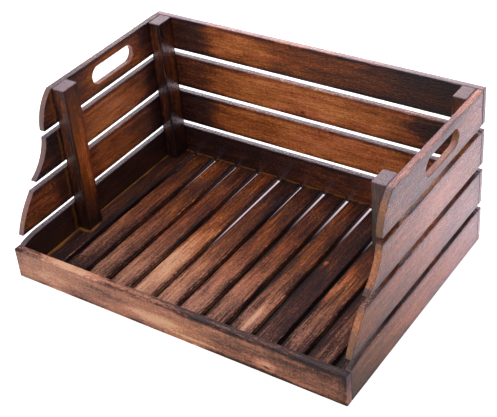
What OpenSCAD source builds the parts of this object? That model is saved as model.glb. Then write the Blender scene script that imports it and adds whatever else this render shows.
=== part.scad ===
// Slatted wooden crate with a low front rail and stepped, curved side fronts.
// Boards are nailed to four upright posts. Sizes are in millimetres. Places along
// the depth are measured from the front of the rail, and each piece is then moved
// so that the crate stands on z = 0 with its middle over the origin.

/* [Crate] */
// Width across the outer faces of the two sides
crate_w = 500; // [420:1:600]
// Depth from the front of the rail to the outer face of the back
crate_d = 355; // [320:1:450]
// Height of one wall slat
slat_h = 51; // [46:0.5:60]
// Open gap between one wall slat and the next
slat_gap = 8.7; // [4:0.1:14]
// Thickness of the side and back slats
wall_t = 9; // [7:0.5:13]
// Radius that the long edges of every board are eased to
ease_r = 1; // [0.4:0.1:1.5]

/* [Front rail] */
// Height of the rail across the front
rail_h = 46; // [34:0.5:46]
// Thickness of the rail
rail_t = 11; // [8:0.5:16]
// Length over which a bottom side slat drops to the height of the rail
dip_l = 26; // [10:1:50]
// How far the drop stands above a straight line
dip_rise = 0.8; // [0.2:0.1:2]

/* [Posts] */
// Width of a post, across the crate
post_w = 19.5; // [15:0.5:30]
// Depth of a post, front to back
post_d = 29; // [20:0.5:36]
// Distance from the front of the crate to the front posts
post_setback = 113.5; // [113:0.5:140]

/* [Floor] */
// Thickness of the floor slats
floor_t = 9; // [6:0.5:12]
// Open gap between one floor slat and the next
floor_gap = 6.5; // [3:0.1:12]

/* [Curved side fronts] */
// Setback of the top slat's front end at its top edge
crest_setback = 112; // [90:0.5:113]
// Setback where the top slat ends and the second begins
waist_setback = 86.5; // [70:0.5:90]
// Setback of the second slat's lower tip
tip_setback = 53.5; // [48:0.5:66]
// Setback of the third slat's upper corner
shoulder_setback = 44.5; // [30:0.5:47]
// Setback of the third slat's foot
foot_setback = 12.5; // [5:0.5:28]
// How far the top slat's end bulges forward of a straight cut
crest_bulge = 6.5; // [1:0.5:10]
// How far the second slat's end is hollowed behind a straight cut
waist_hollow = 6.7; // [1:0.1:10]
// How far the third slat's end bulges forward of a straight cut
foot_bulge = 3.4; // [1:0.1:8]
// Size of the rounding on the tips of the curved ends
tip_r = 3; // [1:0.5:5]
// How far a tip's rounding stands off a straight cut
tip_bulge = 0.8; // [0.2:0.1:1.2]

/* [Hand holes] */
// Length of a hand hole
hand_l = 86; // [70:0.5:110]
// Height of a hand hole
hand_h = 25; // [16:0.5:32]
// Distance from the back of the crate to the middle of a hand hole
hand_from_back = 120; // [105:0.5:140]

/* [Nails] */
// Thickness of a nail's shank
nail_d = 1.6; // [1.2:0.1:2.2]
// Length of a nail
nail_l = 25; // [20:0.5:27]
// Length of a nail's point
nail_point_l = 3; // [1:0.5:5]
// Width of a nail at the end of its point
nail_tip_d = 0.4; // [0.2:0.1:0.8]
// Width of a nail's head
nail_head_d = 3; // [2.6:0.1:4]
// Thickness of a nail's head
nail_head_t = 0.8; // [0.5:0.1:1.2]
// Depth that a head is punched below the wood
nail_set = 0.3; // [0.1:0.1:0.8]
// Room between a nail and the wood around it
nail_clear = 0.05; // [0.02:0.01:0.1]
// Distance of the side nails from the edges of their slat
side_nail_in = 13; // [12:0.5:14]
// Distance of the back nails from the edges of their slat
back_nail_in = 17; // [16.5:0.5:20]
// Distance of the corner nails from the rail's edges
rail_nail_in = 12; // [10:0.5:15]

/* [Hidden] */
ROWS = 4;
FLOOR_SLATS = 13;
ARC_STEPS = 16;
$fn = 32;

crate_h = ROWS * slat_h + (ROWS - 1) * slat_gap;
inner_w = crate_w - 2 * wall_t;
back_y = crate_d - wall_t;
side_x = crate_w / 2 - wall_t;
post_x = side_x - post_w;
back_post_y = back_y - post_d;
floor_l = back_y - rail_t;
floor_slat_w = (inner_w - (FLOOR_SLATS - 1) * floor_gap) / FLOOR_SLATS;
floor_pitch = floor_slat_w + floor_gap;
post_mid_x = post_x + post_w / 2;
post_mid_ys = [post_setback + post_d / 2, back_post_y + post_d / 2];

// Wall slats are counted from the top, so row 1 has the hand hole
function row_z(row) = (ROWS - row) * (slat_h + slat_gap);

// Floor slats are counted from the left
function floor_slat_x(n) = (n - (FLOOR_SLATS + 1) / 2) * floor_pitch;

// Points on the arc from a to b, which stands off the straight line by rise,
// to the right of someone who walks from a to b
function arc_points(a, b, rise) =
    let (
        chord = norm(b - a),
        along = (b - a) / chord,
        out = [along.y, -along.x],
        radius = (chord * chord / 4 + rise * rise) / (2 * rise),
        centre = (a + b) / 2 - out * (radius - rise),
        half_angle = asin(chord / 2 / radius)
    )
    [for (i = [0:ARC_STEPS])
        let (t = half_angle * (2 * i / ARC_STEPS - 1))
        centre + radius * (out * cos(t) + along * sin(t))];

// The rounding of a tip, from a point on the curved end to a point on the edge
function tip_points(a, b) = arc_points(a, b, tip_bulge);

// Front ends of the four side slats, from top to bottom, as depth and height
function crest_end(top, bottom) =
    arc_points([crest_setback, top], [waist_setback, bottom], crest_bulge);

function waist_end(top, bottom) =
    let (tip = [tip_setback, bottom + tip_r])
    concat(
        arc_points([waist_setback, top], tip, -waist_hollow),
        tip_points(tip, [tip_setback + tip_r, bottom])
    );

function foot_end(top, bottom) =
    let (shoulder = [shoulder_setback, top - tip_r])
    concat(
        tip_points([shoulder_setback + tip_r, top], shoulder),
        arc_points(shoulder, [foot_setback, bottom], foot_bulge)
    );

function bottom_end(top, bottom) =
    concat(
        arc_points([rail_t + dip_l, top], [rail_t, rail_h], dip_rise),
        [[rail_t, bottom]]
    );

function side_end(row) =
    let (bottom = row_z(row), top = bottom + slat_h)
    row == 1 ? crest_end(top, bottom)
    : row == 2 ? waist_end(top, bottom)
    : row == 3 ? foot_end(top, bottom)
    : bottom_end(top, bottom);

// Depths are counted from the front of the crate up to here
module centred() {
    translate([0, -crate_d / 2, 0]) children();
}

module on_left() {
    mirror([1, 0, 0]) children();
}

// Section of a sawn board with its four long edges eased
module eased_section(w, h) {
    translate([ease_r, 0]) square([w - 2 * ease_r, h]);
    translate([0, ease_r]) square([w, h - 2 * ease_r]);
    for (x = [ease_r, w - ease_r], y = [ease_r, h - ease_r])
        translate([x, y]) circle(ease_r);
}

// Boards that run across, from front to back and upright
module board_across(l, t, h) {
    translate([-l / 2, 0, 0]) rotate([90, 0, 90]) linear_extrude(l) eased_section(t, h);
}

module board_deep(w, l, h) {
    translate([0, l, 0]) rotate([90, 0, 0]) linear_extrude(l) eased_section(w, h);
}

module board_upright(w, d, l) {
    linear_extrude(l) eased_section(w, d);
}

// A nail driven straight down from the origin, with its head punched in
module nail() {
    shank_l = nail_l - nail_point_l;
    translate([0, 0, -nail_set - nail_head_t]) cylinder(h = nail_head_t, d = nail_head_d);
    translate([0, 0, -nail_set - shank_l]) cylinder(h = shank_l, d = nail_d);
    translate([0, 0, -nail_set - nail_l])
        cylinder(h = nail_point_l, d1 = nail_tip_d, d2 = nail_d);
}

// The hole that the nail makes, open at the face of the wood
module nail_hole() {
    recess = nail_set + nail_head_t + nail_clear;
    bore = nail_set + nail_l + nail_clear;
    translate([0, 0, -recess]) cylinder(h = recess + 1, d = nail_head_d + 2 * nail_clear);
    translate([0, 0, -bore]) cylinder(h = bore, d = nail_d + 2 * nail_clear);
}

// Places of the nails that hold one right side slat to its two posts
module at_side_nails(row) {
    for (y = post_mid_ys, z = [side_nail_in, slat_h - side_nail_in])
        translate([crate_w / 2, y, row_z(row) + z]) rotate([0, 90, 0]) children();
}

// Places of the nails through one back slat into the two back posts
module at_back_nails(row) {
    for (side = [-1, 1], z = [back_nail_in, slat_h - back_nail_in])
        translate([side * post_mid_x, crate_d, row_z(row) + z]) rotate([-90, 0, 0]) children();
}

// Places of the nails through the rail into the ends of the bottom side slats
module at_rail_nails() {
    for (side = [-1, 1], z = [rail_nail_in, rail_h - rail_nail_in])
        translate([side * (crate_w - wall_t) / 2, 0, z]) rotate([90, 0, 0]) children();
}

// Places of the nails through the rail and the back into the floor slats
module at_floor_front(slats = [1:FLOOR_SLATS]) {
    for (n = slats)
        translate([floor_slat_x(n), 0, floor_t / 2]) rotate([90, 0, 0]) children();
}

module at_floor_back(slats = [1:FLOOR_SLATS]) {
    for (n = slats)
        translate([floor_slat_x(n), crate_d, floor_t / 2]) rotate([-90, 0, 0]) children();
}

module front_rail() {
    color("saddlebrown") centred() difference() {
        board_across(crate_w, rail_t, rail_h);
        at_rail_nails() nail_hole();
        at_floor_front() nail_hole();
    }
}

module back_slat(row) {
    color("sienna") centred() difference() {
        translate([0, back_y, row_z(row)]) board_across(crate_w, wall_t, slat_h);
        at_back_nails(row) nail_hole();
        if (row == ROWS) at_floor_back() nail_hole();
    }
}

module hand_hole() {
    half = (hand_l - hand_h) / 2;
    translate([side_x - 1, crate_d - hand_from_back, row_z(1) + slat_h / 2]) {
        for (y = [-half, half])
            translate([0, y, 0]) rotate([0, 90, 0]) cylinder(h = wall_t + 2, d = hand_h);
        translate([0, -half, -hand_h / 2]) cube([wall_t + 2, 2 * half, hand_h]);
    }
}

module side_outline(row) {
    outline = concat(side_end(row), [[back_y, row_z(row)], [back_y, row_z(row) + slat_h]]);
    translate([side_x - 1, 0, 0]) rotate([90, 0, 90]) linear_extrude(wall_t + 2) polygon(outline);
}

module side_slat(row) {
    color("peru") centred() difference() {
        intersection() {
            translate([side_x, 0, row_z(row)]) board_deep(wall_t, back_y, slat_h);
            side_outline(row);
        }
        at_side_nails(row) nail_hole();
        if (row == 1) hand_hole();
        if (row == ROWS) at_rail_nails() nail_hole();
    }
}

module post(y) {
    translate([post_x, y, floor_t]) board_upright(post_w, post_d, crate_h - floor_t);
}

module back_post() {
    color("chocolate") centred() difference() {
        post(back_post_y);
        for (row = [1:ROWS]) at_side_nails(row) nail_hole();
        for (row = [1:ROWS]) at_back_nails(row) nail_hole();
    }
}

module front_post() {
    color("chocolate") centred() difference() {
        post(post_setback);
        for (row = [1:ROWS]) at_side_nails(row) nail_hole();
    }
}

module floor_slat(n) {
    color("burlywood") centred() difference() {
        translate([floor_slat_x(n) - floor_slat_w / 2, rail_t, 0])
            board_deep(floor_slat_w, floor_l, floor_t);
        at_floor_front([n]) nail_hole();
        at_floor_back([n]) nail_hole();
    }
}

module side_nails() {
    color("dimgray") centred() for (row = [1:ROWS]) at_side_nails(row) nail();
}

module back_nails() {
    color("dimgray") centred() for (row = [1:ROWS]) at_back_nails(row) nail();
}

module rail_nails() {
    color("dimgray") centred() at_rail_nails() nail();
}

module floor_nails_front() {
    color("dimgray") centred() at_floor_front() nail();
}

module floor_nails_back() {
    color("dimgray") centred() at_floor_back() nail();
}

front_rail();
for (row = [1:ROWS]) {
    back_slat(row);
    on_left() side_slat(row);
    side_slat(row);
}
on_left() back_post();  // back_post_left
back_post();  // back_post_right
on_left() front_post();  // front_post_left
front_post();  // front_post_right
for (n = [1:FLOOR_SLATS])
    floor_slat(n);
on_left() side_nails();  // left_side_nails
side_nails();  // right_side_nails
back_nails();
rail_nails();
floor_nails_front();
floor_nails_back();
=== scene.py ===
# The looks of a slatted wooden crate with stepped, curved side fronts. Sizes are in metres.
# X runs along the front, Y to the back and Z up, and the crate stands on z = 0.
import math

import bmesh
import bpy
from mathutils import Matrix, Vector


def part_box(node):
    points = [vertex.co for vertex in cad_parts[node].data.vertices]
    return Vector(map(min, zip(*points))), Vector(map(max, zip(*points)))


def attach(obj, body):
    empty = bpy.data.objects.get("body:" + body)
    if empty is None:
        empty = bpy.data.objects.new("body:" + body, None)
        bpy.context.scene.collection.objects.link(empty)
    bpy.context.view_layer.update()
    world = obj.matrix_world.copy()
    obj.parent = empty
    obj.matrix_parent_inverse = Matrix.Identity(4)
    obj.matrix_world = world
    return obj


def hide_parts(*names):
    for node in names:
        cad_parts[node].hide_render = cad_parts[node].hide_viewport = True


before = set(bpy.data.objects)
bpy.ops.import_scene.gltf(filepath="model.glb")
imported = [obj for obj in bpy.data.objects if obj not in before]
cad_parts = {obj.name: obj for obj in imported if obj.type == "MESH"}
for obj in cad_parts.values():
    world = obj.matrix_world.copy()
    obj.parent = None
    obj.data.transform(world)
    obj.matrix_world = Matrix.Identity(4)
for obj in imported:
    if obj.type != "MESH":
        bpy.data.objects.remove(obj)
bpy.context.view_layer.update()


# The posts are four sticks of sawn wood, one behind each end of the side walls. They stand on
# the floor slats' level, their edges are rubbed round, and all wall slats are nailed to them.
# Like the whole crate they are stained walnut brown, flamed at the edges and waxed.
post_edge = 0.0014

# Edges wear by up to half a millimetre and faces by less, in dips of these lengths
edge_cuts = 0.006
edge_wear = 0.0005
edge_dips = 0.014
face_wear = 0.0002
face_dips = 0.06

# Rows that turn the crate's axes into a board's own: along the grain, across and through it
LAYS = {
    "along the front": ((1, 0, 0), (0, 0, 1), (0, -1, 0)),
    "deep on edge": ((0, 1, 0), (0, 0, 1), (1, 0, 0)),
    "deep and flat": ((0, 1, 0), (1, 0, 0), (0, 0, -1)),
    "upright": ((0, 0, 1), (0, 1, 0), (-1, 0, 0)),
}

# The stain's colour, from char at tone 0 to golden wood at tone 1, or to bare wood where it is thin
STAIN = {
    0.0: (0.008, 0.0026, 0.0028),
    0.25: (0.044, 0.0105, 0.0055),
    0.45: (0.120, 0.030, 0.007),
    0.62: (0.265, 0.063, 0.0115),
    0.8: (0.44, 0.12, 0.031),
    1.0: (0.66, 0.23, 0.075),
}
BLEACHED_STAIN = {**STAIN, 1.0: (0.65, 0.35, 0.185)}

# A painted grey sheen for tops and ends, wood with hardly any stain that is partly a painted
# sheen, and glue squeezed out of a joint
sheen_grey = (0.46, 0.32, 0.38, 1.0)
pale_wood_and_sheen = (0.58, 0.39, 0.33, 1.0)
honey_glue = (0.29, 0.11, 0.018, 1.0)

# The wood's patterns: cells to the metre along and across the grain, their detail, and a shift
# that keeps them apart
PATTERNS = {
    "flame": (12, 36, 3, 7),
    "mottle": (24, 170, 3, 29),
    "flecks": (170, 460, 2, 37),
    "streaks": (20, 400, 4, 13),
    "specks": (280, 720, 2, 19),
    "saw_marks": (650, 12, 2, 23),
    "warmth": (9, 60, 2, 31),
}

# How far the patterns swing the tone. Specks are darker below and lighter above their middle.
SWINGS = {"flame": 0.32, "mottle": 0.26, "flecks": 0.24, "rings": 0.04, "saw_marks": 0.16}
usual_grain = 0.26
pale_speck = 0.28
pale_speck_range = (0.54, 0.74)
dark_speck = -0.3
dark_speck_range = (0.26, 0.46)

# How much each pattern stands up from the face
RELIEF = {"streaks": 0.6, "specks": 0.7, "saw_marks": 0.25, "flecks": 0.9}
relief_depth = 0.004

# The grain wanders from a straight line, around rings whose middle lies below the board
wander_cells = (25, 70, 2)
wander_size = 0.008
rings_middle = (0, 0.006, 0.045)
rings_to_metre = 72
rings_drawn_out = 0.12
rings_wobble = {"Distortion": 7, "Detail": 2, "Detail Scale": 0.3}

# The flame burns the edges over a share of the half width, and more where it lingered. Corners
# are rubbed bare over a millimetre, lighter there also as a painted highlight on the arris, and the
# last two centimetres before an end are darker.
burn = 0.4
burn_reach = 0.32
burn_least = 0.35
burn_most = 1.25
bare_corner_and_glint = 0.42
corner_from = 0.0004
corner_to = 0.0016
end_reach = 0.02

# How squarely a face looks along the board to count as end grain, and up to count as a top
end_facing = (0.45, 0.85)
top_facing = (0.5, 0.9)

# The stain leans to violet or to gold, over patches as long as a hand
violet_cast = (1.0, 0.92, 1.04, 1.0)
golden_cast = (1.0, 1.05, 0.9, 1.0)

# Roughness of the wax: smoother on light wood than on char, and duller where it has worn off
wax_on_char = 0.34
wax_on_wood = 0.26
wax_swing = 0.2
wax_worn_off = 0.16

# Shine of the waxed wood, shine where the wax has worn off, and the thin coat of wax on top
wax_shine = 0.5
worn_shine = 0.25
wax_coat = 0.1
coat_roughness = 0.2


def saw_board(name, node):
    """Saws a board to the size of its place in the crate."""
    low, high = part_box(node)
    bpy.ops.object.select_all(action="DESELECT")
    bpy.ops.mesh.primitive_cube_add(size=1, location=(low + high) / 2, scale=high - low)
    board = bpy.context.active_object
    board.name = name
    board.data.name = name
    bpy.ops.object.transform_apply(location=True, rotation=True, scale=True)
    return board


def pick(board, wanted):
    """Selects the corners of a board whose place passes the test, and nothing else."""
    mesh = bmesh.from_edit_mesh(board.data)
    for corner in mesh.verts:
        corner.select = wanted(corner.co)
    mesh.select_flush_mode()
    bmesh.update_edit_mesh(board.data)


def round_edges(board, width):
    """Rubs the sharp edges of a board round."""
    rounding = board.modifiers.new("round_edges", "BEVEL")
    rounding.width = width
    rounding.segments = 3
    rounding.limit_method = "ANGLE"
    rounding.angle_limit = math.radians(35)
    bpy.ops.object.modifier_apply(modifier=rounding.name)


def cut_across(board, axis):
    """Divides a board along its length, so that its edges can wear unevenly."""
    places = [corner.co[axis] for corner in board.data.vertices]
    start = min(places)
    count = int((max(places) - start) / edge_cuts)
    direction = Vector((0, 0, 0))
    direction[axis] = 1
    bpy.ops.object.mode_set(mode="EDIT")
    for cut in range(1, count + 1):
        bpy.ops.mesh.select_all(action="SELECT")
        bpy.ops.mesh.bisect(plane_co=direction * (start + cut * edge_cuts), plane_no=direction)
    bpy.ops.object.mode_set(mode="OBJECT")


def wear_down(board, name, depth, dips, corners):
    """Wears wood away by up to the depth at the given corners, in dips of that length."""
    group = board.vertex_groups.new(name=name)
    group.add(corners, 1.0, "REPLACE")
    unevenness = bpy.data.textures.new(board.name + name, "CLOUDS")
    unevenness.noise_scale = dips
    wear = board.modifiers.new(name, "DISPLACE")
    wear.texture = unevenness
    wear.texture_coords = "LOCAL"
    wear.vertex_group = group.name
    wear.mid_level = 1.0
    wear.strength = depth
    bpy.ops.object.modifier_apply(modifier=wear.name)


def finish_shape(board, lay, edge):
    """Rounds and wears a sawn board, and shades it smooth across its rounded edges."""
    grain = LAYS[lay][0].index(1)
    round_edges(board, edge)
    cut_across(board, grain)
    corners = board.data.vertices
    on_edges = [c.index for c in corners if max(abs(part) for part in c.normal) < 0.96]
    wear_down(board, "_edges", edge_wear, edge_dips, on_edges)
    wear_down(board, "_faces", face_wear, face_dips, [c.index for c in corners])
    bpy.ops.object.shade_smooth_by_angle(angle=math.radians(40))
    flats = board.modifiers.new("flat_faces", "WEIGHTED_NORMAL")
    flats.keep_sharp = True
    bpy.ops.object.modifier_apply(modifier=flats.name)


def add_node(tree, kind, sockets=None, **settings):
    """Adds a shader node, and sets or wires its sockets."""
    node = tree.nodes.new(kind)
    for name, value in settings.items():
        setattr(node, name, value)
    for name, value in (sockets or {}).items():
        if isinstance(value, bpy.types.NodeSocket):
            tree.links.new(value, node.inputs[name])
        else:
            node.inputs[name].default_value = value
    return node


def maths(tree, operation, first, second=0.0):
    """One step of arithmetic on shader values."""
    return add_node(tree, "ShaderNodeMath", {0: first, 1: second}, operation=operation).outputs[0]


def vector_maths(tree, operation, sockets):
    """One step of arithmetic on places."""
    return add_node(tree, "ShaderNodeVectorMath", sockets, operation=operation).outputs[0]


def fade(tree, value, start, end, low, high):
    """Goes smoothly from low to high as the value goes from start to end."""
    ends = {"Value": value, "From Min": start, "From Max": end, "To Min": low, "To Max": high}
    node = add_node(tree, "ShaderNodeMapRange", ends, interpolation_type="SMOOTHSTEP")
    return node.outputs["Result"]


def drawn_noise(tree, place, along, across, detail, shift, output="Fac"):
    """Noise drawn out along the grain, with so many cells to the metre each way."""
    stretch = {"Vector": place, "Location": (shift, shift, shift), "Scale": (along, across, across)}
    stretched = add_node(tree, "ShaderNodeMapping", stretch).outputs[0]
    sockets = {"Vector": stretched, "Scale": 1.0, "Detail": detail, "Roughness": 0.6}
    return add_node(tree, "ShaderNodeTexNoise", sockets).outputs[output]


def swing(tree, value, amount):
    """Turns a value around a half into a swing of so much either way."""
    return maths(tree, "MULTIPLY", maths(tree, "SUBTRACT", value, 0.5), 2 * amount)


def blend_colours(tree, share, first, second, blend_type="MIX"):
    """Blends a share of the second colour into the first, or multiplies it in."""
    node = add_node(tree, "ShaderNodeMix", None, data_type="RGBA", blend_type=blend_type)
    for socket, value in zip((node.inputs[0], node.inputs[6], node.inputs[7]), (share, first, second)):
        if isinstance(value, bpy.types.NodeSocket):
            tree.links.new(value, socket)
        else:
            socket.default_value = value
    return node.outputs[2]


def stain_colour(tree, tone, stain):
    """The colour of the stained wood at a tone."""
    ramp = add_node(tree, "ShaderNodeValToRGB", {"Fac": tone})
    stops = ramp.color_ramp.elements
    for place in list(stain)[2:]:
        stops.new(place)
    for stop, (place, colour) in zip(stops, stain.items()):
        stop.position = place
        stop.color = (*colour, 1.0)
    return ramp.outputs["Color"]


def mark(tree, place, along, across, length, width, change):
    """A soft patch of lighter or darker stain, given by its middle, its size and its change."""
    scale = (2 / length, 2 / width, 0.0)
    shift = (-along * scale[0], -across * scale[1], 0.0)
    sockets = {"Vector": place, "Location": shift, "Scale": scale}
    patch = add_node(tree, "ShaderNodeMapping", sockets).outputs[0]
    reach = add_node(tree, "ShaderNodeVectorMath", {0: patch}, operation="LENGTH").outputs["Value"]
    return fade(tree, reach, 0.3, 1.0, change, 0.0)


def stained_wood(
    name, node, lay, tones, marks=(), glue=(), ends=(-0.12, sheen_grey, 0.25), crest=(0.0, 0.0),
    grain=usual_grain, bleached_and_sheen=None
):
    """Wood with drawn grain, walnut stain, flamed edges and worn corners.

    The tones are those at the board's start, middle and end along the grain. Marks are
    patches with their own tone, and glue is honey-coloured. Ends are the change, the colour
    and its share on end grain, where a grey colour is a painted sheen. Crest is the change and
    the share of painted grey sheen on top: a painted highlight, or painted shade where the
    change darkens. Grain is the swing of its streaks. Bleached is the share of pale wood at the
    start and the end of a board whose wax has worn off, which is also duller; the pale wood is
    partly a painted sheen. The worn corners are partly a painted highlight on the arrises.
    """
    low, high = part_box(node)
    turn = Matrix(LAYS[lay])
    half = Vector([abs(part) for part in turn @ ((high - low) / 2)])
    seed = sum(ord(letter) * (count + 1) for count, letter in enumerate(name)) % 97

    wood = bpy.data.materials.new(name)
    wood.use_nodes = True
    tree = wood.node_tree
    shader = tree.nodes["Principled BSDF"]

    crate_place = add_node(tree, "ShaderNodeTexCoord")
    own = {"Vector": crate_place.outputs["Object"], "Rotation": turn.to_euler()}
    own["Location"] = -(turn @ ((low + high) / 2))
    place = add_node(tree, "ShaderNodeMapping", own).outputs[0]
    own_facing = {"Vector": crate_place.outputs["Normal"], "Rotation": turn.to_euler()}
    facing = add_node(tree, "ShaderNodeMapping", own_facing, vector_type="VECTOR").outputs[0]
    ahead, up, _ = add_node(tree, "ShaderNodeSeparateXYZ", {0: facing}).outputs
    end_grain = fade(tree, maths(tree, "ABSOLUTE", ahead), *end_facing, 0.0, 1.0)

    sway = drawn_noise(tree, place, *wander_cells, seed, "Color")
    sway = vector_maths(tree, "SUBTRACT", {0: sway, 1: (0.5, 0.5, 0.5)})
    sway = vector_maths(tree, "SCALE", {0: sway, "Scale": wander_size})
    wander = vector_maths(tree, "ADD", {0: place, 1: sway})
    along, across, through = add_node(tree, "ShaderNodeSeparateXYZ", {0: wander}).outputs

    pattern = {}
    for kind, (along_cells, across_cells, detail, shift) in PATTERNS.items():
        pattern[kind] = drawn_noise(tree, place, along_cells, across_cells, detail, seed + shift)
    to_rings = {"Vector": place, "Location": rings_middle, "Scale": (rings_drawn_out, 1, 1)}
    rings_place = add_node(tree, "ShaderNodeMapping", to_rings).outputs[0]
    sockets = {"Vector": rings_place, "Scale": rings_to_metre, **rings_wobble}
    rings = add_node(tree, "ShaderNodeTexWave", sockets, wave_type="RINGS", rings_direction="X")
    pattern["rings"] = rings.outputs["Fac"]

    start, middle, end = tones
    to_middle = fade(tree, along, -half.x, 0, start, middle)
    tone = maths(tree, "ADD", to_middle, fade(tree, along, 0, half.x, 0, end - middle))
    for kind, amount in {**SWINGS, "streaks": grain}.items():
        tone = maths(tree, "ADD", tone, swing(tree, pattern[kind], amount))
    tone = maths(tree, "ADD", tone, fade(tree, pattern["specks"], *pale_speck_range, 0.0, pale_speck))
    tone = maths(tree, "ADD", tone, fade(tree, pattern["specks"], *dark_speck_range, dark_speck, 0.0))
    for patch in marks:
        tone = maths(tree, "ADD", tone, mark(tree, wander, *patch))

    from_side = maths(tree, "SUBTRACT", half.y, maths(tree, "ABSOLUTE", across))
    from_face = maths(tree, "SUBTRACT", half.z, maths(tree, "ABSOLUTE", through))
    from_edge = maths(tree, "MAXIMUM", from_side, from_face)
    burnt = fade(tree, from_edge, 0.0, burn_reach * half.y, -burn, 0.0)
    lingered = fade(tree, pattern["flame"], 0.3, 0.72, burn_most, burn_least)
    tone = maths(tree, "ADD", tone, maths(tree, "MULTIPLY", burnt, lingered))
    # Corners rubbed bare, lighter also as a painted highlight on the arris
    worn = fade(tree, from_edge, corner_from, corner_to, bare_corner_and_glint, 0.0)
    unevenly = fade(tree, pattern["flecks"], 0.42, 0.62, 0.15, 1.0)
    tone = maths(tree, "ADD", tone, maths(tree, "MULTIPLY", worn, unevenly))
    from_end = maths(tree, "SUBTRACT", half.x, maths(tree, "ABSOLUTE", along))
    tone = maths(tree, "ADD", tone, fade(tree, from_end, 0.0, end_reach, -0.4 * burn, 0.0))
    tone = maths(tree, "ADD", tone, maths(tree, "MULTIPLY", end_grain, ends[0]))
    # Lighter or darker top faces: a painted highlight where lighter, painted shade where darker
    tone = maths(tree, "ADD", tone, fade(tree, up, *top_facing, 0.0, crest[0]))

    warmth = fade(tree, pattern["warmth"], 0.35, 0.65, 0.0, 1.0)
    cast = blend_colours(tree, warmth, violet_cast, golden_cast)
    stain = stain_colour(tree, tone, BLEACHED_STAIN if bleached_and_sheen else STAIN)
    colour = blend_colours(tree, 1.0, stain, cast, "MULTIPLY")
    # Colours on end grain and on the top faces, mostly a painted grey sheen
    colour = blend_colours(tree, maths(tree, "MULTIPLY", end_grain, ends[2]), colour, ends[1])
    colour = blend_colours(tree, fade(tree, up, *top_facing, 0.0, crest[1]), colour, sheen_grey)
    # Pale wood towards the start, partly bare wood and partly a painted sheen
    if bleached_and_sheen:
        pale = fade(tree, along, -half.x, 0.3 * half.x, *bleached_and_sheen)
        pale = maths(tree, "MULTIPLY", pale, fade(tree, tone, 0.2, 0.7, 0.0, 1.0))
        colour = blend_colours(tree, pale, colour, pale_wood_and_sheen)
    for patch in glue:
        colour = blend_colours(tree, mark(tree, wander, *patch), colour, honey_glue)
    tree.links.new(colour, shader.inputs["Base Color"])

    rough = wax_worn_off if bleached_and_sheen else 0.0
    wax = fade(tree, tone, 0.1, 0.8, wax_on_char + rough, wax_on_wood + rough)
    wax = maths(tree, "ADD", wax, swing(tree, pattern["mottle"], wax_swing))
    tree.links.new(wax, shader.inputs["Roughness"])
    relief = 0.0
    for kind, height in RELIEF.items():
        relief = maths(tree, "ADD", relief, maths(tree, "MULTIPLY", pattern[kind], height))
    sockets = {"Height": relief, "Strength": 0.8, "Distance": relief_depth * grain}
    bump = add_node(tree, "ShaderNodeBump", sockets)
    tree.links.new(bump.outputs[0], shader.inputs["Normal"])
    shader.inputs["Specular IOR Level"].default_value = worn_shine if bleached_and_sheen else wax_shine
    shader.inputs["Coat Weight"].default_value = 0.0 if bleached_and_sheen else wax_coat
    shader.inputs["Coat Roughness"].default_value = coat_roughness
    return wood


def fix(board, node, wood):
    """Gives a board its finish and its place in the crate."""
    board.data.materials.clear()
    board.data.materials.append(wood)
    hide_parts(node)
    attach(board, "root")


# Tones go from the foot to the top. The foot and the front face of each post are darker.
dark_front = (0.015, -0.0145, 0.21, 0.012, -0.36)
post_ends = (-0.05, sheen_grey, 0.27)
posts = {
    "front_post_left": ((0.07, 0.63, 0.34), [dark_front]),
    "front_post_right": ((0.1, 0.54, 0.36), [dark_front]),
    "back_post_left": ((0.08, 0.3, 0.27), []),
    "back_post_right": ((0.27, 0.45, 0.45), []),
}
for node, (tones, marks) in posts.items():
    stick = saw_board(node + "_stick", node)
    finish_shape(stick, "upright", post_edge)
    wood = stained_wood(node + "_wood", node, "upright", tones, marks, ends=post_ends)
    fix(stick, node, wood)


# The side slats are thin boards on edge, four to a side, nailed to the outside of the posts.
# The upper three are band-sawn at the front to one flowing curve, and the top one has a hand
# hole. The bottom one drops at its front to the height of the rail.
slat_edge = 0.0012
crate_depth = 0.355
crest_setback = 0.112
waist_setback = 0.0865
tip_setback = 0.0535
shoulder_setback = 0.0445
foot_setback = 0.0125
crest_bulge = 0.0065
waist_hollow = 0.0067
foot_bulge = 0.0034
tip_size = 0.003
tip_bulge = 0.0008
dip_length = 0.026
dip_rise = 0.0008
hand_length = 0.086
hand_height = 0.025
hand_from_back = 0.120
cutter_length = 0.03


def arc(start, end, rise, steps):
    """Points on an arc from start to end, standing off the straight line by rise."""
    start, end = Vector(start), Vector(end)
    run = end - start
    out = Vector((run.y, -run.x)).normalized()
    radius = (run.length_squared / 4 + rise * rise) / (2 * rise)
    centre = (start + end) / 2 - out * (radius - rise)
    half_angle = math.asin(run.length / 2 / radius)
    points = []
    for step in range(steps + 1):
        angle = half_angle * (2 * step / steps - 1)
        points.append(centre + radius * (out * math.cos(angle) + run.normalized() * math.sin(angle)))
    return points


def front_outline(row, low, high):
    """The front end of a side slat from its bottom edge up, as setback and height."""
    bottom, top = low.z, high.z
    rail_front, rail_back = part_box("front_rail")
    rail_thick = rail_back.y - rail_front.y
    if row == 1:
        return arc((waist_setback, bottom), (crest_setback, top), -crest_bulge, 20)
    if row == 2:
        tip = (tip_setback, bottom + tip_size)
        rounding = arc((tip_setback + tip_size, bottom), tip, -tip_bulge, 4)
        return rounding + arc(tip, (waist_setback, top), waist_hollow, 20)[1:]
    if row == 3:
        shoulder = (shoulder_setback, top - tip_size)
        rounding = arc(shoulder, (shoulder_setback + tip_size, top), -tip_bulge, 4)
        return arc((foot_setback, bottom), shoulder, -foot_bulge, 20) + rounding[1:]
    dip = arc((rail_thick, rail_back.z), (rail_thick + dip_length, top), -dip_rise, 8)
    return [Vector((rail_thick, bottom))] + dip


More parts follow.
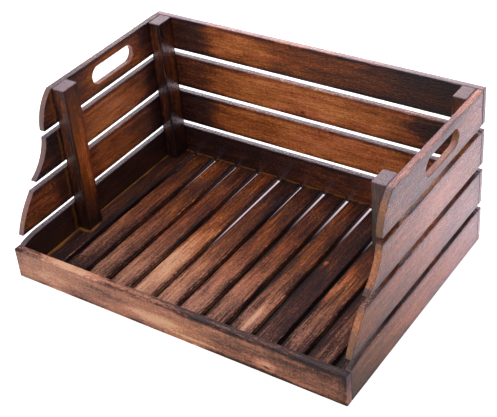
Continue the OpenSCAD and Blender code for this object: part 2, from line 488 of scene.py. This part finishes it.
def saw_front(board, outline):
    """Saws the front end of a side slat to its outline."""
    front = min(corner.co.y for corner in board.data.vertices)
    bpy.ops.object.mode_set(mode="EDIT")
    bpy.ops.mesh.select_mode(type="EDGE")
    mesh = bmesh.from_edit_mesh(board.data)
    for edge in mesh.edges:
        ends = [corner.co for corner in edge.verts]
        at_front = all(abs(place.y - front) < 1e-5 for place in ends)
        edge.select = at_front and abs(ends[0].z - ends[1].z) > 1e-3
    bmesh.update_edit_mesh(board.data)
    bpy.ops.mesh.subdivide(number_cuts=len(outline) - 2)
    bpy.ops.mesh.select_mode(type="VERT")
    mesh = bmesh.from_edit_mesh(board.data)
    at_front = [corner for corner in mesh.verts if abs(corner.co.y - front) < 1e-5]
    at_front.sort(key=lambda corner: corner.co.z)
    order = [corner.index for corner in at_front]
    for step, (setback, height) in enumerate(outline):
        pair = order[2 * step:2 * step + 2]
        mesh = bmesh.from_edit_mesh(board.data)
        mesh.verts.ensure_lookup_table()
        place = mesh.verts[pair[0]].co.copy()
        for corner in mesh.verts:
            corner.select = corner.index in pair
        mesh.select_flush_mode()
        bmesh.update_edit_mesh(board.data)
        move = (0, setback - crate_depth / 2 - place.y, height - place.z)
        bpy.ops.transform.translate(value=move)
    bpy.ops.object.mode_set(mode="OBJECT")


def cut_hand_hole(board, low, high):
    """Cuts a long hole with round ends through a top slat."""
    middle = Vector(((low.x + high.x) / 2, crate_depth / 2 - hand_from_back, (low.z + high.z) / 2))
    bpy.ops.object.select_all(action="DESELECT")
    bpy.ops.mesh.primitive_cylinder_add(
        vertices=50, radius=hand_height / 2, depth=cutter_length, location=middle,
        rotation=(0, math.pi / 2, 0)
    )
    cutter = bpy.context.active_object
    bpy.ops.object.transform_apply(location=True, rotation=True, scale=True)
    bpy.ops.object.mode_set(mode="EDIT")
    bpy.ops.mesh.select_mode(type="VERT")
    for way in (-1, 1):
        pick(cutter, lambda place: (place.y - middle.y) * way > 1e-5)
        bpy.ops.transform.translate(value=(0, way * (hand_length - hand_height) / 2, 0))
    bpy.ops.object.mode_set(mode="OBJECT")
    bpy.ops.object.select_all(action="DESELECT")
    board.select_set(True)
    bpy.context.view_layer.objects.active = board
    hole = board.modifiers.new("hand_hole", "BOOLEAN")
    hole.object = cutter
    hole.operation = "DIFFERENCE"
    hole.solver = "EXACT"
    bpy.ops.object.modifier_apply(modifier=hole.name)
    bpy.data.objects.remove(cutter)


# Tones go from the front to the back. Marks are measured from the crate's middle: they are painted
# shade beside the posts and in the corner, dark on a front end, and pale where the stain was rubbed off.
# Glue shows along the left front post.
shade_by_post = (-0.073, 0.0, 0.055, 0.12, -0.3)
shade_in_corner = (0.137, 0.0, 0.065, 0.12, -0.3)
glue_by_post = (-0.0675, 0.0, 0.007, 0.12, 0.35)
side_slats = {
    ("left", 1): ((0.24, 0.6, 0.41), [shade_in_corner, (0.01, 0.0, 0.03, 0.04, 0.12)]),
    ("left", 2): ((0.17, 0.78, 0.32), [shade_by_post, shade_in_corner]),
    ("left", 3): ((0.44, 0.55, 0.33), [shade_by_post, shade_in_corner, (0.01, 0.0, 0.05, 0.05, 0.08)]),
    ("left", 4): ((0.08, 0.06, 0.07), []),
    ("right", 1): ((0.46, 0.2, 0.66), [(-0.068, 0.02, 0.03, 0.03, -0.4), (0.02, 0.0255, 0.2, 0.006, 0.2)]),
    ("right", 2): ((0.48, 0.68, 0.52), [(-0.122, -0.022, 0.016, 0.02, -0.35)]),
    ("right", 3): ((0.43, 0.58, 0.42), []),
    ("right", 4): ((0.42, 0.72, 0.48), []),
}

# The sawn front ends carry a painted grey sheen on the left and are golden on the right
sheen_end = (0.42, 0.27, 0.23, 1.0)
golden_end = (0.46, 0.25, 0.1, 1.0)
front_ends = {"left": (0.08, sheen_end, 0.3), "right": (0.08, golden_end, 0.22)}
foot_end = (-0.1, sheen_grey, 0.25)

# The tops carry a painted grey sheen on the left and, on the right, are darker as painted shade
# in the gaps between the rows, apart from the ones named here
side_crests = {"left": (-0.05, 0.2), "right": (-0.2, 0.0)}
crests = {
    ("left", 1): (0.0, 0.08),
    ("right", 1): (0.38, 0.2),
    ("right", 2): (0.2, 0.0),
    ("right", 3): (0.1, 0.0),
}
side_grain = 0.4
for (side, row), (tones, marks) in side_slats.items():
    node = f"{side}_slat_{row}"
    low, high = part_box(node)
    slat = saw_board(node + "_board", node)
    saw_front(slat, front_outline(row, low, high))
    if row == 1:
        cut_hand_hole(slat, low, high)
    finish_shape(slat, "deep on edge", slat_edge)
    middle = (low.y + high.y) / 2
    marks = [(along - middle, *rest) for along, *rest in marks]
    glue = [(glue_by_post[0] - middle, *glue_by_post[1:])] if side == "left" else []
    ends = foot_end if row == 4 else front_ends[side]
    crest = crests.get((side, row), side_crests[side])
    wood = stained_wood(node + "_wood", node, "deep on edge", tones, marks, glue, ends, crest, side_grain)
    fix(slat, node, wood)


# The back slats are four straight boards of the same stock, as long as the crate is wide.
# They are nailed over the ends of the side slats and to the two back posts.

# Tones go from left to right. Marks are painted shade in the left corner, dark in a few patches and at
# the knot in the second slat, and pale where the stain was rubbed off. The narrowest ones tint the top
# edges.
shade_in_left_corner = (-0.2, 0.0, 0.11, 0.16, -0.36)
# Painted sheen on the top edge and the ledges: a tone change and a share of sheen grey
top_crest = (0.15, 0.5)
ledge_crest = (-0.05, 0.3)
back_slats = {
    1: ((0.58, 0.44, 0.02), [
        shade_in_left_corner,
        (-0.15, -0.011, 0.05, 0.014, 0.2),
        (-0.1, 0.0, 0.14, 0.06, 0.25),
        (-0.2, 0.0255, 0.09, 0.006, -0.5),
        (0.04, 0.0255, 0.4, 0.005, 0.3),
    ]),
    2: ((0.56, 0.84, 0.4), [
        shade_in_left_corner,
        (-0.0127, -0.016, 0.009, 0.007, -0.4),
        (0.18, 0.008, 0.09, 0.05, -0.35),
        (0.16, 0.0255, 0.12, 0.006, 0.5),
    ]),
    3: ((0.43, 0.8, 0.59), [shade_in_left_corner, (0.08, 0.0255, 0.3, 0.006, -0.3)]),
    4: ((0.07, 0.25, 0.77), [(-0.11, 0.0, 0.2, 0.2, -0.12)]),
}
for row, (tones, marks) in back_slats.items():
    node = f"back_slat_{row}"
    slat = saw_board(node + "_board", node)
    finish_shape(slat, "along the front", slat_edge)
    crest = top_crest if row == 1 else ledge_crest
    wood = stained_wood(node + "_wood", node, "along the front", tones, marks, crest=crest)
    fix(slat, node, wood)


# The floor is thirteen narrow slats laid from front to back with a gap between each two.
# Their ends are nailed through the rail and the bottom back slat. They were sawn by eye, so
# some run a little narrower towards the back.
floor_edge = 0.0011
floor_grain = 0.52
# The front of the floor is pale, partly bare wood and partly a painted sheen
floor_bleached_and_sheen = (0.33, 0.0)

# Tones go from the front to the back. Glue squeezed out along the back end of each slat, along
# the wall and round the post. Trims are taken off the left and right edges at the back.
glue_at_back = (0.1660, 0.0, 0.008, 0.08, 0.45)
glue_by_wall = [
    (0.05, -0.0142, 0.6, 0.007, 0.7),
    (-0.11, -0.0142, 0.12, 0.014, 0.7),
    (-0.067, -0.006, 0.008, 0.03, 0.8),
    (-0.056, 0.0056, 0.03, 0.006, 0.7),
]
floor_slats = {
    1: ((0.04, 0.15, 0.13), [(-0.01, 0.0, 0.1, 0.03, 0.15), (0.06, 0.0, 0.12, 0.03, 0.1)]),
    2: ((0.15, 0.42, 0.33), []),
    3: ((0.41, 0.46, 0.39), []),
    4: ((0.57, 0.46, 0.27), []),
    5: ((0.88, 0.59, 0.41), [(-0.05, 0.0, 0.15, 0.05, 0.17), (0.04, 0.0, 0.09, 0.05, -0.1)]),
    6: ((0.69, 0.45, 0.09), []),
    7: ((0.53, 0.45, 0.27), [(-0.05, 0.0, 0.1, 0.04, 0.15)]),
    8: ((0.46, 0.4, 0.2), [(-0.06, 0.0, 0.1, 0.04, 0.1)]),
    9: ((0.62, 0.42, 0.25), [
        (-0.11, 0.004, 0.1, 0.012, 0.42),
        (-0.135, -0.009, 0.05, 0.02, -0.25),
        (-0.05, 0.0, 0.08, 0.03, 0.1),
    ]),
    10: ((0.22, 0.1, 0.13), [(0.025, -0.009, 0.012, 0.008, 0.4)]),
    11: ((0.33, 0.46, 0.02), [(0.0, -0.01, 0.09, 0.018, 0.22)]),
    12: ((0.26, 0.26, 0.02), []),
    13: ((0.14, 0.02, 0.02), []),
}
floor_trims = {
    2: (0.0, 0.0004),
    3: (0.0002, 0.0),
    5: (0.0, 0.0009),
    6: (0.0011, 0.0),
    7: (0.0, 0.0006),
    8: (0.0009, 0.0006),
    9: (0.0009, 0.0004),
    10: (0.0008, 0.0),
}


def trim_back(board, left, right):
    """Narrows the back end of a floor slat by a little on its left and its right."""
    middle = sum((corner.co for corner in board.data.vertices), Vector()) / len(board.data.vertices)
    bpy.ops.object.mode_set(mode="EDIT")
    for way, trim in ((-1, left), (1, right)):
        pick(board, lambda place: place.y > middle.y and (place.x - middle.x) * way > 0)
        bpy.ops.transform.translate(value=(-way * trim, 0, 0))
    bpy.ops.object.mode_set(mode="OBJECT")


for number, (tones, marks) in floor_slats.items():
    node = f"floor_slat_{number}"
    slat = saw_board(node + "_board", node)
    if number in floor_trims:
        trim_back(slat, *floor_trims[number])
    finish_shape(slat, "deep and flat", floor_edge)
    glue = [glue_at_back] + (glue_by_wall if number == 1 else [])
    wood = stained_wood(
        node + "_wood", node, "deep and flat", tones, marks, glue, grain=floor_grain, bleached_and_sheen=floor_bleached_and_sheen
    )
    fix(slat, node, wood)


# The front rail is one low, thicker board across the whole front. It closes the floor and
# the ends of the bottom side slats, and is nailed to both.
rail_edge = 0.0012

# Tones go from left to right. Marks are pale where the stain was rubbed off, dark along the top
# on the right and at the knot near the right end.
rail_grain = 0.2
# Pale wood over the rail, most at the left, partly bare wood and partly a painted sheen
rail_bleached_and_sheen = (0.33, 0.19)
rail_ends = (0.2, sheen_grey, 0.2)
rail_tones = (0.66, 0.66, 0.45)
rail_marks = [
    (-0.19, -0.004, 0.07, 0.03, 0.25),
    (-0.105, 0.004, 0.1, 0.034, -0.16),
    (-0.025, -0.004, 0.12, 0.026, 0.3),
    (0.04, -0.014, 0.1, 0.007, 0.3),
    (0.038, -0.0215, 0.014, 0.007, 0.45),
    (0.085, 0.004, 0.08, 0.03, -0.16),
    (0.14, -0.009, 0.042, 0.026, 0.36),
    (0.143, -0.011, 0.014, 0.008, -0.5),
    (0.19, -0.016, 0.06, 0.01, 0.35),
    (-0.175, -0.0215, 0.08, 0.008, 0.5),
    (-0.17, 0.0235, 0.16, 0.012, 0.4),
    (0.12, 0.0235, 0.36, 0.012, -0.2),
    (0.25, 0.016, 0.01, 0.024, -0.35),
    (0.25, -0.013, 0.008, 0.02, 0.15),
]
rail = saw_board("front_rail_board", "front_rail")
finish_shape(rail, "along the front", rail_edge)
rail_wood = stained_wood(
    "rail_wood", "front_rail", "along the front", rail_tones, rail_marks, ends=rail_ends, grain=rail_grain,
    bleached_and_sheen=rail_bleached_and_sheen
)
fix(rail, "front_rail", rail_wood)


# The nails are thin steel with flat heads. The heads are punched below the wood and stopped
# with filler, so they don't show. The steel is dull, with brown spots of oxide.
steel_grey = (0.30, 0.29, 0.28, 1.0)
oxide_brown = (0.10, 0.055, 0.035, 1.0)
spots_to_metre = 900


def nail_steel():
    """Dull steel with spots of oxide."""
    steel = bpy.data.materials.new("nail_steel")
    steel.use_nodes = True
    tree = steel.node_tree
    shader = tree.nodes["Principled BSDF"]
    place = add_node(tree, "ShaderNodeTexCoord").outputs["Object"]
    spots = drawn_noise(tree, place, spots_to_metre, spots_to_metre, 3, 5)
    spotted = blend_colours(tree, fade(tree, spots, 0.45, 0.65, 0.0, 1.0), steel_grey, oxide_brown)
    tree.links.new(spotted, shader.inputs["Base Color"])
    tree.links.new(fade(tree, spots, 0.3, 0.7, 0.35, 0.7), shader.inputs["Roughness"])
    bump = add_node(tree, "ShaderNodeBump", {"Height": spots, "Strength": 0.4, "Distance": 0.0001})
    tree.links.new(bump.outputs[0], shader.inputs["Normal"])
    shader.inputs["Metallic"].default_value = 1.0
    return steel


steel = nail_steel()
for node, cad_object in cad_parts.items():
    if "nails" in node:
        cad_object.material_slots[0].material = steel


# The studio is a white paper floor that runs out of sight, with soft light from all round and
# three large lamps. The camera looks down into the crate from its front right corner.
paper_size = 12
paper_level = -0.0004
floor_white = 0.8
# Under the crate the paper is painted dark, as the crate's shadow
shadow_under_crate = 0.03
floor_glow = 0.72
room_light = 0.55

# Where the paper goes from covered to clear: beside, behind and before the crate
beside_crate = (0.235, 0.25)
behind_crate = (0.16, 0.1775)
before_crate = (-0.165, -0.1775)

# A painted glow under the back of the crate stands for light leaking in, and reaches furthest
# where the widest gap lets it in
widest_gap = -0.0564
gap_reach = (0.005, 0.03)
leak_from = (-0.02, 0.07)
leak_length = 0.09
leak_sheen = 0.3

# How brightly the paper is mirrored in the wood: from front to back, and out to the side
sheen_deep = (-0.15, 0.3, 0.0, 1.5)
sheen_side = (0.26, 0.4, 1.5, 0.66)
sheen_pink = (1.0, 0.78, 0.94, 1.0)
# The painted glow under the crate is tinted pink
shade_pink = (1.0, 0.76, 0.84, 1.0)

# Place, size and power of each lamp
lamps = {
    "overhead_lamp": ((-0.2, 0.3, 2.2), (1.6, 1.4), 26),
    "front_lamp": ((0.5, -2.0, 1.6), (1.4, 1.0), 20),
    "backdrop_lamp": ((-1.208, 1.96, 1.384), (1.4, 0.36), 16),
}
lamps_aim = (0, 0, 0.1)

camera_place = (0.7298, -0.9729, 0.9458)
camera_azimuth = math.radians(36.634)
camera_elevation = math.radians(35.485)
camera_roll = math.radians(-5.482)
camera_lens = 83.83


def white_floor():
    """White paper that the camera sees as lit, dark under the crate and brighter behind it."""
    white = bpy.data.materials.new("white_floor")
    white.use_nodes = True
    tree = white.node_tree
    shader = tree.nodes["Principled BSDF"]
    shader.inputs["Roughness"].default_value = 1.0
    shader.inputs["Specular IOR Level"].default_value = 0.0
    place = add_node(tree, "ShaderNodeTexCoord").outputs["Object"]
    side, deep, _ = add_node(tree, "ShaderNodeSeparateXYZ", {0: place}).outputs
    beside = fade(tree, maths(tree, "ABSOLUTE", side), *beside_crate, 0.0, 1.0)
    behind = fade(tree, deep, *behind_crate, 0.0, 1.0)
    before = fade(tree, deep, *before_crate, 0.0, 1.0)
    clear = maths(tree, "MAXIMUM", beside, maths(tree, "MAXIMUM", behind, before))
    from_gap = maths(tree, "ABSOLUTE", maths(tree, "SUBTRACT", side, widest_gap))
    leak_start = fade(tree, from_gap, *gap_reach, *leak_from)
    leak = fade(tree, deep, leak_start, maths(tree, "ADD", leak_start, leak_length), 0.0, 1.0)
    # Painted shadow: the paper's own colour is dark under the crate
    paper = fade(tree, clear, 0.0, 1.0, shadow_under_crate, floor_white)
    tree.links.new(paper, shader.inputs["Base Color"])

    rays = add_node(tree, "ShaderNodeLightPath").outputs
    seen = maths(tree, "MAXIMUM", rays["Is Camera Ray"], rays["Is Transmission Ray"])
    seen = maths(tree, "MULTIPLY", seen, floor_glow)
    mirrored = maths(tree, "MULTIPLY", fade(tree, deep, *sheen_deep), fade(tree, side, *sheen_side))
    mirrored = maths(tree, "MULTIPLY", mirrored, rays["Is Glossy Ray"])
    glow_colour = blend_colours(tree, clear, shade_pink, (1.0, 1.0, 1.0, 1.0))
    glow_colour = blend_colours(tree, rays["Is Glossy Ray"], glow_colour, sheen_pink)
    tree.links.new(glow_colour, shader.inputs["Emission Color"])
    # The paper glows where it is clear, and under the crate only as the painted leak glow
    lit = maths(tree, "MULTIPLY", seen, maths(tree, "MAXIMUM", clear, leak))
    dim_leak = maths(tree, "MULTIPLY", leak, leak_sheen)
    mirrored = maths(tree, "MULTIPLY", mirrored, maths(tree, "MAXIMUM", clear, dim_leak))
    tree.links.new(maths(tree, "MAXIMUM", lit, mirrored), shader.inputs["Emission Strength"])
    return white


def white_room():
    """White all round for the camera and for glossy surfaces, and a plain level of light."""
    world = bpy.data.worlds.new("white_room")
    world.use_nodes = True
    tree = world.node_tree
    rays = add_node(tree, "ShaderNodeLightPath").outputs
    seen = maths(tree, "MAXIMUM", rays["Is Camera Ray"], rays["Is Glossy Ray"])
    seen = maths(tree, "MAXIMUM", seen, rays["Is Transmission Ray"])
    background = tree.nodes["Background"]
    colour = blend_colours(tree, rays["Is Glossy Ray"], (1.0, 1.0, 1.0, 1.0), sheen_pink)
    tree.links.new(colour, background.inputs["Color"])
    tree.links.new(fade(tree, seen, 0.0, 1.0, room_light, 1.0), background.inputs["Strength"])
    return world


def lamp(name, place, size, power):
    """A soft lamp that shines at the crate."""
    light = bpy.data.lights.new(name, "AREA")
    light.shape = "RECTANGLE"
    light.size, light.size_y = size
    light.energy = power
    stand = bpy.data.objects.new(name, light)
    stand.location = place
    stand.rotation_euler = (Vector(lamps_aim) - Vector(place)).to_track_quat("-Z", "Y").to_euler()
    bpy.context.scene.collection.objects.link(stand)


bpy.ops.object.select_all(action="DESELECT")
bpy.ops.mesh.primitive_plane_add(size=paper_size, location=(0, 0, paper_level))
floor = bpy.context.active_object
floor.name = "studio_floor"
floor.data.materials.append(white_floor())

bpy.context.scene.world = white_room()
for name, (place, size, power) in lamps.items():
    lamp(name, place, size, power)

camera_data = bpy.data.cameras.new("camera")
camera_data.sensor_width = 36
camera_data.lens = camera_lens
camera = bpy.data.objects.new("camera", camera_data)
turn = Matrix.Rotation(camera_azimuth, 3, "Z")
tilt = Matrix.Rotation(math.pi / 2 - camera_elevation, 3, "X")
roll = Matrix.Rotation(camera_roll, 3, "Z")
camera.rotation_euler = (turn @ tilt @ roll).to_euler()
camera.location = camera_place
bpy.context.scene.collection.objects.link(camera)
bpy.context.scene.camera = camera
bpy.context.scene.view_settings.view_transform = "Standard"
